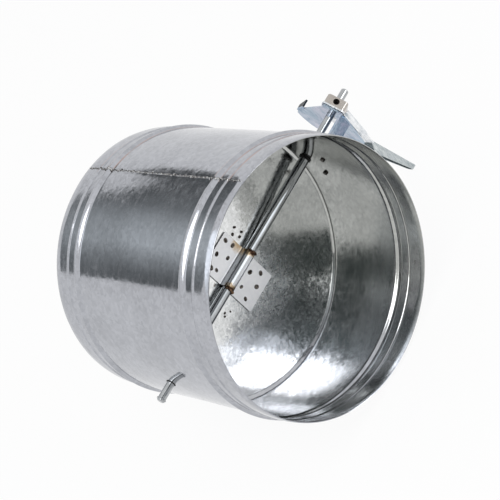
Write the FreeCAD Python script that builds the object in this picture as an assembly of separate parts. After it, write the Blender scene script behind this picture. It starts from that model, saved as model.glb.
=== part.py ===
import FreeCAD, Part
import math
import os
from FreeCAD import Vector

# Round manual volume damper, millimetres. Z is up, the duct runs along Y from the near
# spigot (its end face is y = 0) to the far one, and the shaft lies along X with the
# handle on the +X side. The blade is shut and the lever hangs straight down.

duct_radius = 150.0            # outside of the casing wall
wall = 0.9                     # galvanised sheet
inside_radius = duct_radius - wall
casing_length = 270.0
shaft_y = casing_length / 2
lead_in_length = 8.0           # spigot ends drawn in so that they enter a duct
lead_in_drop = 1.2
rib_at = 24.0                  # small sharp rib, distance from each end
rib_half = 2.6
rib_height = 1.3
bead_at = 41.5                 # rolled bead, distance from each end
bead_half = 6.0
bead_height = 3.0
lap_angle = 84.0               # longitudinal lap of the rolled sheet, degrees from +X
lap_width = 11.0
lap_clear = 52.0               # the lap strip stops this far from each end
stitches = 9                   # weld stitches along the lap
stitch_length = 8.0
stitch_radius = 1.1
reach = 3 * duct_radius        # length of cutting bodies, past everything

tube_radius = 6.0
rod_radius = 4.5
rod_depth = 38.3               # how far a shaft end sits inside the tube
rod_chamfer = 1.1
running = 0.05                 # radial clearance of a shaft end in its bush
free = 0.3                     # radial clearance where it only passes through
drilled = 0.1                  # radial clearance of washer and lever on the shaft end
clamped = 0.02                 # radial clearance of the hub on the shaft end

bush_barrel_radius = 5.6
bush_flange_radius = 7.2
bush_flange_thick = 0.95
bush_seat = 0.4                # flange face to the top of the curved wall
bush_proud = 0.4
bush_flange_out = inside_radius - bush_seat
bush_flange_in = bush_flange_out - bush_flange_thick
spacer_thickness = 1.2
spacer_gap = 0.25
tube_half = bush_flange_in - spacer_gap - spacer_thickness

blade_clear = 1.9              # blade rim to the wall
blade_radius = inside_radius - blade_clear
blade_thick = 1.2
blade_edge = 0.5
hem_width = 7.0
blade_face_y = shaft_y + tube_radius

saddle_thick = 1.5
saddle_x = -4.0                # the saddle sits off the middle of the shaft
saddle_half_x = 24.5
saddle_top = 38.5              # its wings reach this far above and below the shaft
saddle_bottom = -47.0
saddle_bend = 2.5
saddle_corner = 2.0
weld_radius = 1.6
weld_proud = 0.3
weld_sweep = 130.0
# Spot welds on the saddle: x and z of each, the photo's own loose spacing.
saddle_spots = [(13.2, 31.8), (14.6, 20.2), (-5.3, 32.5), (0.0, 17.1), (-21.2, 29.5), (-19.2, 21.7),
                (5.7, -18.4), (13.4, -31.7), (-13.8, -18.5), (-1.6, -36.4), (-21.0, -31.7)]
spot_radius = 1.9
spot_height = 0.35

stand_off = 60.2               # room for insulation between casing and quadrant
plate_low = duct_radius + stand_off
plate_thick = 2.0
collar_radius = 14.2
collar_corner = 4.0            # the near edge starts from a corner this far outside the collar
sector_radius = 55.0
sector_from = -101.0           # degrees, 0 is +Y and 90 is +Z seen from the handle end
near_corner = (-18.5, -5.0)    # y and z from the shaft where the near edge turns down
slot_angle = -36.5             # keyhole slot that lets the quadrant slide on to the shaft
slot_left = 4.3                # the slot's sides from the shaft axis
slot_right = 10.0
slot_start = 8.0
tab_inner = (39.5, 9.3)        # y and z from the shaft of the stop's foot line
tab_outer = (50.8, 6.2)
tab_height_inner = 10.0
tab_height_outer = 5.0
leg_angle = 210.0
leg_distance = 15.5            # outer face of the leg from the shaft axis
leg_left = 10.0                # the leg's sides, across leg_angle
leg_right = -26.0
foot_left = 19.0               # the foot is wider than the leg on one side
foot_length = 15.0
rivet_spots = [(leg_distance + 9.7, foot_left - 6.0), (leg_distance + 9.7, leg_right + 13.5)]
rivet_radius = 2.0
rivet_head_radius = 4.0
rivet_head_height = 1.5
rivet_sink = 0.3               # the head's skirt reaches this far past the curved foot
rivet_tail_radius = 2.7
rivet_tail_height = 1.4

washer_thick = 1.0
washer_radius = 11.0
lever_low = plate_low + plate_thick + washer_thick
lever_thick = 2.0
lever_root_half = 14.0         # the root is a square on its corner, like the hub
lever_root_corner = 4.0
lever_waist = 16.0             # half-width beside the hub
lever_neck_half = 13.0
lever_grip_half = 9.3
lever_tip_half = 5.5
step_rise = 7.0
step_start = -36.0
step_end = -44.0
step_lean = 4.0
grip_start = -64.5
grip_tip = -143.0
grip_rise = 23.0
grip_depth_root = 6.0
grip_depth_tip = 4.0
grip_lead = 12.0
grip_inset = 0.5
flange_thick = 1.6
flange_from = -5.0
flange_rake = 2.0
hub_half = 12.8
hub_corner = 3.6
hub_edge = 1.0
hub_height = 12.5
hub_base = lever_low + lever_thick
screw_angle = 135.0
screw_height = 6.5             # axis of the cross hole above the lever
screw_radius = 3.65
screw_hole_radius = 3.75
screw_seat = 0.05
screw_length = 5.0
socket_across = 4.0
socket_depth = 2.6
rod_proud = 17.3               # shaft end beyond the hub
rod_tail = 23.0                # shaft end beyond the casing on the tail side
tail_ring_radius = 5.4
tail_ring_thick = 1.4
tail_ring_at = 19.6            # ring to casing


def along_x(radius, x_from, x_to, y=shaft_y, z=0.0):
    """A cylinder lying along X."""
    return Part.makeCylinder(radius, x_to - x_from, Vector(x_from, y, z), Vector(1, 0, 0))


def tube_x(outer, inner, x_from, x_to):
    return along_x(outer, x_from, x_to).cut(along_x(inner, -reach, reach))


def round_duct(radius, y_from=-reach, y_to=reach):
    return Part.makeCylinder(radius, y_to - y_from, Vector(0, y_from, 0), Vector(0, 1, 0))


def flat(points, direction):
    """A closed polygon of points, pushed along direction."""
    wire = Part.makePolygon(points + [points[0]])
    return Part.Face(wire).extrude(direction)


def handle_point(x, y, z):
    """A point given from the shaft's axis."""
    return Vector(x, shaft_y + y, z)


def polar(radius, degrees):
    a = math.radians(degrees)
    return radius * math.cos(a), radius * math.sin(a)


def half_profile(offset):
    """Points of the casing's wall from the near end to mid-length, at an offset from its outside."""
    points = [(duct_radius - lead_in_drop, 0.0), (duct_radius, lead_in_length)]
    for at, half, height, steps in ((rib_at, rib_half, rib_height, 2), (bead_at, bead_half, bead_height, 4)):
        for i in range(steps + 1):
            rise = height * math.sin(math.pi * i / steps)
            points.append((duct_radius + rise, at + half * (2 * i / steps - 1)))
    return [(r - offset, y) for r, y in points]


def casing_shell():
    outer = half_profile(0.0)
    inner = half_profile(wall)
    mirror = lambda pts: [(r, casing_length - y) for r, y in reversed(pts)]
    outer = outer + mirror(outer)
    inner = inner + mirror(inner)
    loop = [Vector(r, y, 0) for r, y in outer + inner[::-1]]
    face = Part.Face(Part.makePolygon(loop + [loop[0]]))
    shell = face.revolve(Vector(0, 0, 0), Vector(0, 1, 0), 360)
    strip = round_duct(duct_radius + wall, lap_clear, casing_length - lap_clear)
    strip = strip.cut(round_duct(duct_radius))
    shell = shell.fuse(strip.common(lap_wedge())).removeSplitter()
    shell = shell.cut(along_x(bush_barrel_radius, -reach, reach))
    for x, y, z in rivet_centres():
        shell = shell.cut(along_x(rivet_radius, 0, reach, y, z))
    return shell


def lap_wedge():
    """A wedge from the duct's axis that takes in just the width of the lap."""
    a = polar(reach, lap_angle)
    b = polar(reach, lap_angle + math.degrees(lap_width / duct_radius))
    corners = [Vector(0, 0, 0), Vector(a[0], 0, a[1]), Vector(b[0], 0, b[1])]
    return flat(corners, Vector(0, casing_length, 0))


def seam_welds():
    """Short weld stitches along the lap's edge."""
    beads = []
    span = casing_length - 2 * lap_clear
    y, z = polar(duct_radius + wall * 0.4, lap_angle)
    keep_off = round_duct(duct_radius).fuse(lap_wedge())
    for i in range(stitches):
        start = lap_clear + span * (i + 0.5) / stitches - stitch_length / 2
        ring = [polar(stitch_radius, 45 * k) for k in range(8)]
        bead = flat([Vector(y + u, start, z + v) for u, v in ring], Vector(0, stitch_length, 0))
        beads.append(bead.cut(keep_off))
    return Part.makeCompound(beads)


def bush(side):
    """A flanged bush pressed into the wall, its flange seated inside."""
    flange = tube_x(bush_flange_radius, rod_radius + running, bush_flange_in, bush_flange_out)
    barrel = tube_x(bush_barrel_radius, rod_radius + running, bush_flange_in, duct_radius + bush_proud)
    part = flange.fuse(barrel).removeSplitter()
    return part if side > 0 else part.mirror(Vector(0, shaft_y, 0), Vector(1, 0, 0))


def spacer(side):
    part = tube_x(tube_radius, rod_radius + running, tube_half, tube_half + spacer_thickness)
    return part if side > 0 else part.mirror(Vector(0, shaft_y, 0), Vector(1, 0, 0))


def shaft_tube():
    return tube_x(tube_radius, rod_radius, -tube_half, tube_half)


def chamfered_rod(radius, x_from, x_to):
    rod = along_x(radius, x_from, x_to)
    tip = x_to if abs(x_to) > abs(x_from) else x_from
    edges = [e for e in rod.Edges if abs(e.BoundBox.XMin - tip) < 0.01 and abs(e.BoundBox.XMax - tip) < 0.01]
    return rod.makeChamfer(rod_chamfer, edges)


def handle_rod():
    return chamfered_rod(rod_radius, tube_half - rod_depth, hub_base + hub_height + rod_proud)


def tail_rod():
    return chamfered_rod(rod_radius, -duct_radius - rod_tail, rod_depth - tube_half)


def tail_ring():
    seat = -duct_radius - tail_ring_at
    return tube_x(tail_ring_radius, rod_radius, seat - tail_ring_thick, seat)


def blade_disc():
    """A flat disc with its edge folded back on the far side."""
    disc = Part.makeCylinder(blade_radius, blade_thick, Vector(0, blade_face_y, 0), Vector(0, 1, 0))
    hem = Part.makeCylinder(blade_radius, blade_thick, Vector(0, blade_face_y + blade_thick, 0), Vector(0, 1, 0))
    hem = hem.cut(round_duct(blade_radius - hem_width))
    disc = disc.fuse(hem).removeSplitter()
    rim = [e for e in disc.Edges if abs(e.BoundBox.ZMax - blade_radius) < 0.01]
    return disc.makeChamfer(blade_edge, rim)


def saddle_plate():
    """A strap with a half-round hump over the tube and two flat wings on the disc."""
    inner = tube_radius
    outer = tube_radius + saddle_thick
    low = saddle_x - saddle_half_x
    length = 2 * saddle_half_x
    near = blade_face_y - saddle_thick
    hump = along_x(outer, low, low + length)
    hump = hump.cut(Part.makeBox(length, outer, 2 * outer, Vector(low, shaft_y, -outer)))
    legs = Part.makeBox(length, blade_face_y - shaft_y, 2 * outer, Vector(low, shaft_y, -outer))
    wings = Part.makeBox(length, saddle_thick, saddle_top - saddle_bottom, Vector(low, near, saddle_bottom))
    solid = hump.fuse(legs).fuse(wings).removeSplitter()
    bends = [e for e in solid.Edges
             if abs(e.BoundBox.YMin - near) < 0.01 and abs(e.BoundBox.YMax - near) < 0.01
             and abs(abs(e.BoundBox.ZMin) - outer) < 0.01 and e.BoundBox.XLength > length * 0.9]
    solid = solid.makeFillet(saddle_bend, bends)
    corners = [e for e in solid.Edges if e.BoundBox.YLength > saddle_thick * 0.9 and e.BoundBox.XLength < 0.01
               and min(abs(e.BoundBox.ZMin - saddle_top), abs(e.BoundBox.ZMin - saddle_bottom)) < 0.01]
    solid = solid.makeFillet(saddle_corner, corners)
    channel = along_x(inner, -reach, reach)
    throat = Part.makeBox(length, reach, 2 * inner, Vector(low, shaft_y, -inner))
    return solid.cut(channel).cut(throat)


def saddle_welds():
    near = blade_face_y - saddle_thick
    spots = []
    ring = [polar(spot_radius, 60 * k) for k in range(6)]
    for x, z in saddle_spots:
        spots.append(flat([Vector(x + u, near, z + v) for u, v in ring], Vector(0, -spot_height, 0)))
    return Part.makeCompound(spots)


def tube_weld(side):
    """A weld bead laid round the near face of the tube against the saddle's end."""
    x = saddle_x + side * (saddle_half_x + weld_radius * 0.55)
    away = tube_radius + weld_proud
    section = [polar(weld_radius, 60 * k) for k in range(6)]
    face = Part.Face(Part.makePolygon([handle_point(x + u, v - away, 0) for u, v in section + section[:1]]))
    start = handle_point(x, 0, 0)
    bead = face.revolve(start, Vector(1, 0, 0), weld_sweep)
    bead.rotate(start, Vector(1, 0, 0), -weld_sweep / 2)
    return bead.cut(along_x(tube_radius, -reach, reach)).cut(saddle_plate())


def leg_frame(along, across):
    """y and z from the shaft of a point set out along the leg's direction and across it."""
    a = math.radians(leg_angle)
    return (along * math.cos(a) + across * math.sin(a), along * math.sin(a) - across * math.cos(a))


def rivet_centres():
    centres = []
    for along, across in rivet_spots:
        y, z = leg_frame(along, across)
        centres.append((math.sqrt(duct_radius ** 2 - z ** 2), shaft_y + y, z))
    return centres


def leg_block(low, high, left, x_from, x_to):
    points = [leg_frame(along, across) for along, across
              in ((low, leg_right), (high, leg_right), (high, left), (low, left))]
    return flat([handle_point(x_from, y, z) for y, z in points], Vector(x_to - x_from, 0, 0))


def quadrant_bracket():
    """Flat quadrant with a turned-up stop, on one wide leg whose foot follows the casing."""
    top = plate_low + plate_thick
    up = Vector(plate_thick, 0, 0)
    collar = along_x(collar_radius, plate_low, top)
    arc_from = math.radians(sector_from)
    arc_to = math.atan2(tab_outer[1], tab_outer[0])
    rim = [polar(sector_radius, math.degrees(arc_from + (arc_to - arc_from) * i / 24)) for i in range(25)]
    outline = [polar(collar_radius, 80), tab_inner, tab_outer] + rim[::-1][1:] + [near_corner, (0.0, 0.0)]
    sector = flat([handle_point(plate_low, y, z) for y, z in outline], up)
    shoulder = [polar(collar_radius, 60), polar(collar_radius + collar_corner, 100),
                leg_frame(leg_distance, leg_left), leg_frame(leg_distance, leg_right),
                polar(collar_radius, -52), (0.0, 0.0)]
    bridge = flat([handle_point(plate_low, y, z) for y, z in shoulder], up)
    inner_end = duct_radius * 0.8
    leg = leg_block(leg_distance - plate_thick, leg_distance, leg_left, inner_end, top)
    foot = leg_block(leg_distance - plate_thick, leg_distance + foot_length, foot_left, inner_end, plate_low)
    foot = foot.common(round_duct(duct_radius + plate_thick))
    part = sector.fuse(collar).fuse(bridge).fuse(leg).fuse(foot)
    dy, dz = tab_outer[0] - tab_inner[0], tab_outer[1] - tab_inner[1]
    size = math.hypot(dy, dz)
    ny, nz = -dz / size * plate_thick, dy / size * plate_thick
    tab_line = [handle_point(plate_low, *tab_inner), handle_point(top + tab_height_inner, *tab_inner),
                handle_point(top + tab_height_inner, tab_inner[0] + dy * 0.12, tab_inner[1] + dz * 0.12),
                handle_point(top + tab_height_outer, *tab_outer), handle_point(plate_low, *tab_outer)]
    part = part.fuse(flat(tab_line, Vector(0, ny, nz)))
    part = part.removeSplitter().cut(round_duct(duct_radius))
    part = part.cut(along_x(rod_radius + free, duct_radius, reach)).cut(keyhole_slot())
    for x, y, z in rivet_centres():
        part = part.cut(along_x(rivet_radius, 0, plate_low, y, z))
    return part


def keyhole_slot():
    """An open slot with a round inner end, cut through the quadrant only."""
    radius = (slot_left + slot_right) / 2
    middle = (slot_right - slot_left) / 2
    inner = Part.makeCylinder(radius, plate_thick, Vector(plate_low, slot_start, -middle), Vector(1, 0, 0))
    run = Part.makeBox(plate_thick, reach, 2 * radius, Vector(plate_low, slot_start, -middle - radius))
    slot = inner.fuse(run)
    slot.rotate(Vector(0, 0, 0), Vector(1, 0, 0), slot_angle)
    slot.translate(Vector(0, shaft_y, 0))
    return slot


def bracket_rivets():
    """Two blind rivets through the foot, heads outside and set tails inside the casing."""
    foot_radius = duct_radius + plate_thick
    rivets = []
    for x, y, z in rivet_centres():
        seat = math.sqrt(foot_radius ** 2 - max(abs(z) - rivet_head_radius, 0) ** 2)
        low = math.sqrt(foot_radius ** 2 - (abs(z) + rivet_head_radius) ** 2) - rivet_sink
        inner = math.sqrt(inside_radius ** 2 - (abs(z) + rivet_tail_radius) ** 2)
        crown = seat + rivet_head_height / 2
        shank = along_x(rivet_radius, inner - rivet_tail_height, crown, y, z)
        skirt = along_x(rivet_head_radius, low, crown, y, z).cut(round_duct(foot_radius))
        dome = Part.makeCone(rivet_head_radius, rivet_head_radius * 0.6, rivet_head_height / 2,
                             Vector(crown, y, z), Vector(1, 0, 0))
        tail = along_x(rivet_tail_radius, inner - rivet_tail_height, reach, y, z)
        tail = tail.common(round_duct(inside_radius))
        rivets.append(shank.fuse(skirt).fuse(dome).fuse(tail).removeSplitter())
    return Part.makeCompound(rivets)


def thrust_washer():
    return tube_x(washer_radius, rod_radius + drilled, plate_low + plate_thick, lever_low)


def lever_width(z):
    """Half-width of the lever where it is z below the shaft."""
    stages = [(0.0, lever_waist), (step_end, lever_neck_half),
              (grip_start, lever_grip_half), (grip_tip, lever_tip_half)]
    for (z_from, half_from), (z_to, half_to) in zip(stages, stages[1:]):
        if z >= z_to:
            break
    return half_from + (half_to - half_from) * (z - z_from) / (z_to - z_from)


def lever_outline(inset):
    """The lever seen along the shaft, drawn in by inset."""
    root_join = lever_waist - lever_root_half * math.sqrt(2)
    right = [(lever_width(z) - inset, z) for z in (root_join, step_end, grip_start, grip_tip + lever_tip_half)]
    tip = [polar(lever_tip_half - inset, -15 * i) for i in range(1, 12)]
    tip = [(y, z + grip_tip + lever_tip_half) for y, z in tip]
    points = right + tip + [(-y, z) for y, z in reversed(right)]
    plan = flat([handle_point(lever_low, y, z) for y, z in points], Vector(reach, 0, 0))
    if inset > 0:
        return plan
    return plan.fuse(square_on_corner(lever_root_half, lever_root_corner, lever_low, reach))


def square_on_corner(half, corner, x_from, height):
    """A square block about the shaft, one corner up, with its four long edges rounded."""
    block = Part.makeBox(height, 2 * half, 2 * half, handle_point(x_from, -half, -half))
    edges = [e for e in block.Edges if e.BoundBox.XLength > height * 0.9]
    block = block.makeFillet(corner, edges)
    block.rotate(Vector(0, shaft_y, 0), Vector(1, 0, 0), 45)
    return block


def side_sheet(points):
    """A prism across the whole lever, from its side view as (x, z) points."""
    return flat([handle_point(x, -reach, z) for x, z in points], Vector(0, 2 * reach, 0))


def lever_arm():
    """Pressed lever: flat round the hub with turned-up sides, a step, a neck and a cranked grip."""
    neck = lever_low + step_rise
    brim = neck + lever_thick
    line = [(lever_low, 2 * lever_root_half), (lever_low, step_start), (neck, step_end),
            (neck, grip_start), (neck + grip_rise, grip_tip)]
    web = side_sheet(line + [(x + lever_thick, z) for x, z in reversed(line)])
    plan = lever_outline(0.0)
    edge = plan.cut(lever_outline(flange_thick))
    fore = side_sheet([(lever_low, flange_from), (lever_low, step_end), (brim, step_end - step_lean),
                       (brim, flange_from - flange_rake), (hub_base, flange_from)])
    aft = side_sheet([(neck + grip_inset, grip_start), (neck + grip_inset + grip_rise, grip_tip),
                      (neck + grip_rise - grip_depth_tip, grip_tip),
                      (neck - grip_depth_root, grip_start - grip_lead), (neck, grip_start)])
    part = web.common(plan).fuse(fore.common(edge)).fuse(aft.common(edge)).removeSplitter()
    return part.cut(along_x(rod_radius + drilled, lever_low, reach))


def lever_hub():
    """Square hub with rounded corners and a tapped cross hole."""
    block = square_on_corner(hub_half, hub_corner, hub_base, hub_height)
    rims = [e for e in block.Edges if abs(e.BoundBox.XMin - (hub_base + hub_height)) < 0.01]
    block = block.makeChamfer(hub_edge, rims)
    block = block.cut(along_x(rod_radius + clamped, hub_base, reach))
    return block.cut(screw_cylinder(screw_hole_radius, 0, reach))


def screw_point(along, across, up):
    """A point set out from the middle of the cross hole's axis: along it, across it and away from the lever."""
    y, z = polar(1, screw_angle)
    return handle_point(hub_base + screw_height + up, y * along - z * across, z * along + y * across)


def screw_cylinder(radius, start, end):
    y, z = polar(1, screw_angle)
    return Part.makeCylinder(radius, end - start, screw_point(start, 0, 0), Vector(0, y, z))


def hub_set_screw():
    """Socket set screw run down on to the shaft end."""
    start = rod_radius + screw_seat
    y, z = polar(1, screw_angle)
    corners = [polar(socket_across / math.sqrt(3), 60 * i) for i in range(6)]
    floor = start + screw_length - socket_depth
    socket = flat([screw_point(floor, v, u) for u, v in corners], Vector(0, y, z) * reach)
    return screw_cylinder(screw_radius, start, start + screw_length).cut(socket)


pieces = {
    "casing_shell": casing_shell,
    "seam_welds": seam_welds,
    "bush_handle": lambda: bush(1),
    "bush_tail": lambda: bush(-1),
    "quadrant_bracket": quadrant_bracket,
    "bracket_rivets": bracket_rivets,
    "blade_disc": blade_disc,
    "saddle_plate": saddle_plate,
    "saddle_welds": saddle_welds,
    "weld_handle": lambda: tube_weld(1),
    "weld_tail": lambda: tube_weld(-1),
    "shaft_tube": shaft_tube,
    "handle_rod": handle_rod,
    "tail_rod": tail_rod,
    "tail_ring": tail_ring,
    "spacer_handle": lambda: spacer(1),
    "spacer_tail": lambda: spacer(-1),
    "thrust_washer": thrust_washer,
    "lever_arm": lever_arm,
    "lever_hub": lever_hub,
    "hub_set_screw": hub_set_screw,
}

os.makedirs("parts", exist_ok=True)
for node, build in pieces.items():
    shape = build()
    print(node, len(shape.Solids), "solids, valid", shape.isValid(), round(shape.Volume, 1))
    shape.exportStep("parts/%s.step" % node)
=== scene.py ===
import bmesh
import bpy
import numpy as np
from mathutils import Matrix, Vector


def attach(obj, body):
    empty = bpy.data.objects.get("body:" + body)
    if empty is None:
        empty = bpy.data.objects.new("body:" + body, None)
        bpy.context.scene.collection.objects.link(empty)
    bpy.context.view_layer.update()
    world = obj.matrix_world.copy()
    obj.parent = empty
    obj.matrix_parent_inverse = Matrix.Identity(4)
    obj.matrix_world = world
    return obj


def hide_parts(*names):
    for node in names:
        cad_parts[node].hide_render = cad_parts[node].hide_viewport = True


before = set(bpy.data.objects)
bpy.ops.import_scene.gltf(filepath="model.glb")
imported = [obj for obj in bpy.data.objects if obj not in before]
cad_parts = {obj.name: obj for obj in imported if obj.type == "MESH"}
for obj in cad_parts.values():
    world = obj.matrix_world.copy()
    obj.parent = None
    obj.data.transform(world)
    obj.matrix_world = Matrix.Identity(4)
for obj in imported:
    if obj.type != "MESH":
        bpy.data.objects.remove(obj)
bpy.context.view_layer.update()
print("frame loaded:", len(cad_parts), "nodes")

mm = 0.001
ductLength = 270.0             # mm, along y
shaftY = ductLength / 2        # the shaft crosses the duct here, at z = 0


# Corners of every quad of a grid of indices, going round the quad.
def quadCorners(grid):
    return np.stack([grid[:-1, :-1], grid[1:, :-1], grid[1:, 1:], grid[:-1, 1:]], 2)


# One object from one or more grids of points in mm. Rows run along u and columns along v. A wrapped
# direction joins its last line to its first; caps close the first and the last row, each with a fan
# round its middle. The faces are turned so that the enclosed volume is positive: they face outwards.
def gridObject(name, grids, wrapU=False, wrapV=False, caps=False, uv=None, sharp=35):
    allVerts, allQuads, allTris, allUv, base = [], [], [], [], 0
    for points in grids:
        rows, cols = points.shape[:2]
        index = np.arange(rows * cols).reshape(rows, cols)
        across = np.vstack([index, index[:1]]) if wrapU else index
        across = np.hstack([across, across[:, :1]]) if wrapV else across
        quads = quadCorners(across).reshape(-1, 4)
        verts = points.reshape(-1, 3)
        tris = np.zeros((0, 3), int)
        if caps:
            first, last = index[0], index[-1]
            middles = rows * cols, rows * cols + 1
            verts = np.vstack([verts, points[0].mean(0), points[-1].mean(0)])
            tris = np.vstack([np.stack([first, np.roll(first, -1), np.full(cols, middles[0])], 1),
                              np.stack([np.roll(last, -1), last, np.full(cols, middles[1])], 1)])
        q, t = verts[quads], verts[tris]
        volume = (q[:, 0] * np.cross(q[:, 1], q[:, 2])).sum() + (q[:, 0] * np.cross(q[:, 2], q[:, 3])).sum()
        volume += (t[:, 0] * np.cross(t[:, 1], t[:, 2])).sum()
        turn = -1 if volume < 0 else 1
        allVerts.append(verts)
        allQuads.append(quads[:, ::turn] + base)
        allTris.append(tris[:, ::turn] + base)
        if uv is not None:
            allUv.append(np.stack([quadCorners(uv[..., k]) for k in (0, 1)], -1).reshape(-1, 4, 2)[:, ::turn])
        base += len(verts)
    verts, quads, tris = np.vstack(allVerts) * mm, np.vstack(allQuads), np.vstack(allTris)
    mesh = bpy.data.meshes.new(name)
    mesh.from_pydata(verts.tolist(), [], quads.tolist() + tris.tolist())
    if uv is not None:
        corners = np.vstack([np.vstack(allUv).reshape(-1, 2), np.zeros((3 * len(tris), 2))]) * mm
        mesh.uv_layers.new(name="metres").data.foreach_set("uv", corners.astype(np.float32).ravel())
    return placeMesh(name, mesh, sharp)


# Smooth shading with the edges past an angle kept crisp, in an object at the origin.
def placeMesh(name, mesh, sharp):
    mesh.polygons.foreach_set("use_smooth", np.ones(len(mesh.polygons), dtype=bool))
    mesh.set_sharp_from_angle(angle=np.radians(sharp))
    mesh.update()
    obj = bpy.data.objects.new(name, mesh)
    bpy.context.scene.collection.objects.link(obj)
    return obj


# Gives a piece its material and its body, and hides the CAD nodes that it stands for. Its slot is not used.
def dress(obj, material, body, slotName, *nodes):
    obj.data.materials.clear()
    obj.data.materials.append(material)
    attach(obj, body)
    if nodes:
        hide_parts(*nodes)
    return obj


# A profile of (x, radius) points turned about the shaft's axis: y = shaft + radius cos, z = radius sin.
def turned(profile, segments=96):
    profile = np.asarray(profile, float)
    angle = np.linspace(0, 2 * np.pi, segments, endpoint=False)
    x = np.repeat(profile[:, :1], segments, 1)
    return np.stack([x, shaftY + profile[:, 1:] * np.cos(angle), profile[:, 1:] * np.sin(angle)], -1)


# A smooth bump from 0 to 1 and back: (1 + cos) / 2 over the width either side of the middle.
def bump(value, middle, half):
    t = np.clip(np.abs(value - middle) / half, 0, 1)
    return 0.5 * (1 + np.cos(np.pi * t))


def smoothStep(value, low, high):
    t = np.clip((value - low) / (high - low), 0, 1)
    return t * t * (3 - 2 * t)


# Sum of cosines round the duct (whole waves) and along it, each with its own phase: the small
# out-of-round and oil-canning of thin rolled sheet.
def sheetWaves(angle, along, size, seed, count=14):
    local = np.random.default_rng(seed)
    total = np.zeros(np.broadcast(angle, along).shape)
    for _ in range(count):
        waves = local.integers(1, 9)
        length = local.uniform(70, 300)
        phase = local.uniform(0, 6.28, 2)
        wave = np.cos(waves * angle + phase[0]) * np.cos(2 * np.pi * along / length + phase[1])
        total += wave / np.sqrt(waves)
    return total * size / np.sqrt(count)


# Materials


# sRGB hex to the linear colour that the shader wants.
def hexColour(text):
    value = np.array([int(text[i:i + 2], 16) for i in (0, 2, 4)]) / 255
    linear = np.where(value <= 0.04045, value / 12.92, ((value + 0.055) / 1.055) ** 2.4)
    return (*linear.tolist(), 1.0)


# Fills a node's attributes and inputs by name or index. An input takes a value or a node's socket.
def fill(tree, node, settings):
    for key, value in settings.items():
        if not isinstance(key, int) and key not in node.inputs:
            setattr(node, key, value)
        elif isinstance(value, bpy.types.NodeSocket):
            tree.links.new(value, node.inputs[key])
        else:
            node.inputs[key].default_value = value


def addNode(tree, kind, settings=None):
    node = tree.nodes.new("ShaderNode" + kind)
    fill(tree, node, settings or {})
    return node


# Arithmetic on numbers or sockets, and the same on vectors.
def calc(tree, operation, *terms):
    return addNode(tree, "Math", {"operation": operation, **dict(enumerate(terms))}).outputs[0]


def vector(tree, operation, *terms):
    return addNode(tree, "VectorMath", {"operation": operation, **dict(enumerate(terms))}).outputs[0]


# A value carried from one range to another and held at its ends.
def ramp(tree, value, low, high, start=0.0, end=1.0):
    return addNode(tree, "MapRange", {0: value, 1: low, 2: high, 3: start, 4: end}).outputs[0]


# Cloudy noise from 0 to 1. Its scale is in patches a metre, so 1000 / scale is a patch in mm.
def noise(tree, where, scale, detail, roughness=0.5, distortion=0.0):
    return addNode(tree, "TexNoise", {"Vector": where, "Scale": scale, "Detail": detail,
                                      "Roughness": roughness, "Distortion": distortion}).outputs[0]


def stretched(tree, where, scale):
    return addNode(tree, "Mapping", {"Vector": where, "Scale": scale}).outputs[0]


# One tone going over to another by a share; a tone is sRGB hex or a socket.
def mixTones(tree, share, first, second, blend="MIX"):
    first, second = (hexColour(tone) if isinstance(tone, str) else tone for tone in (first, second))
    settings = {"data_type": "RGBA", "blend_type": blend, 0: share, 6: first, 7: second}
    return addNode(tree, "Mix", settings).outputs[2]


# Fine relief from a height between 0 and 1 that stands for a depth in metres.
def relief(tree, height, strength, depth):
    return addNode(tree, "Bump", {"Height": height, "Strength": strength, "Distance": depth}).outputs[0]


def distanceTo(tree, where, middle):
    place = tuple(value * mm for value in middle)
    return addNode(tree, "VectorMath", {"operation": "DISTANCE", 0: where, 1: place}).outputs["Value"]


def emptyMaterial(name):
    material = bpy.data.materials.new(name)
    material.use_nodes = True
    material.node_tree.nodes.clear()
    return material, material.node_tree


def newMaterial(name):
    material, tree = emptyMaterial(name)
    shader = addNode(tree, "BsdfPrincipled")
    addNode(tree, "OutputMaterial", {"Surface": shader.outputs[0]})
    return material, tree, shader, addNode(tree, "TexCoord").outputs["Object"]


# Tones, the crystals' size in mm and tilt, the roughness with what crystals, streaks, stains and scuffs
# add to it, the stains' size in mm, and the strength of the relief.
galvanised = {
    "casing": {"light": "b6b8be", "dark": "989a9f", "spangle": 3.6, "tilt": 0.014, "rough": 0.055,
               "spread": 0.04, "streak": 0.05, "dent": 0.03, "blotch": 0.11, "patch": 9.0, "scuff": 0.14},
    "blade": {"light": "f2f3f3", "dark": "c0c2c2", "spangle": 3.2, "tilt": 0.036, "rough": 0.09,
              "spread": 0.10, "streak": 0.05, "dent": 0.06, "blotch": 0.06, "patch": 20.0, "scuff": 0.1},
}

# The casing's film inside, towards the handle, and the rust along its ribs and beads, in mm: distances
# from each end, half-widths where a line is full and gone, and where the lines fade in along x and z.
filmLook = {"tint": "fffef2", "from": -10.0, "full": 90.0}
rustLook = {"tint": "b28c7c", "share": 0.6, "at": (21.5, 35.5, 47.2), "full": 0.4, "gone": 1.7,
            "across": (10.0, 18.0), "up": (50.0, 80.0)}

# The blade's haze in mm, round the middle of the strap: its reach, added roughness and frost.
hazeLook = {"middle": (8.0, 141.0, -45.0), "from": 64.0, "full": 30.0, "rough": 0.12,
            "frost": 0.75, "tint": "7f8c95"}


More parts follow.
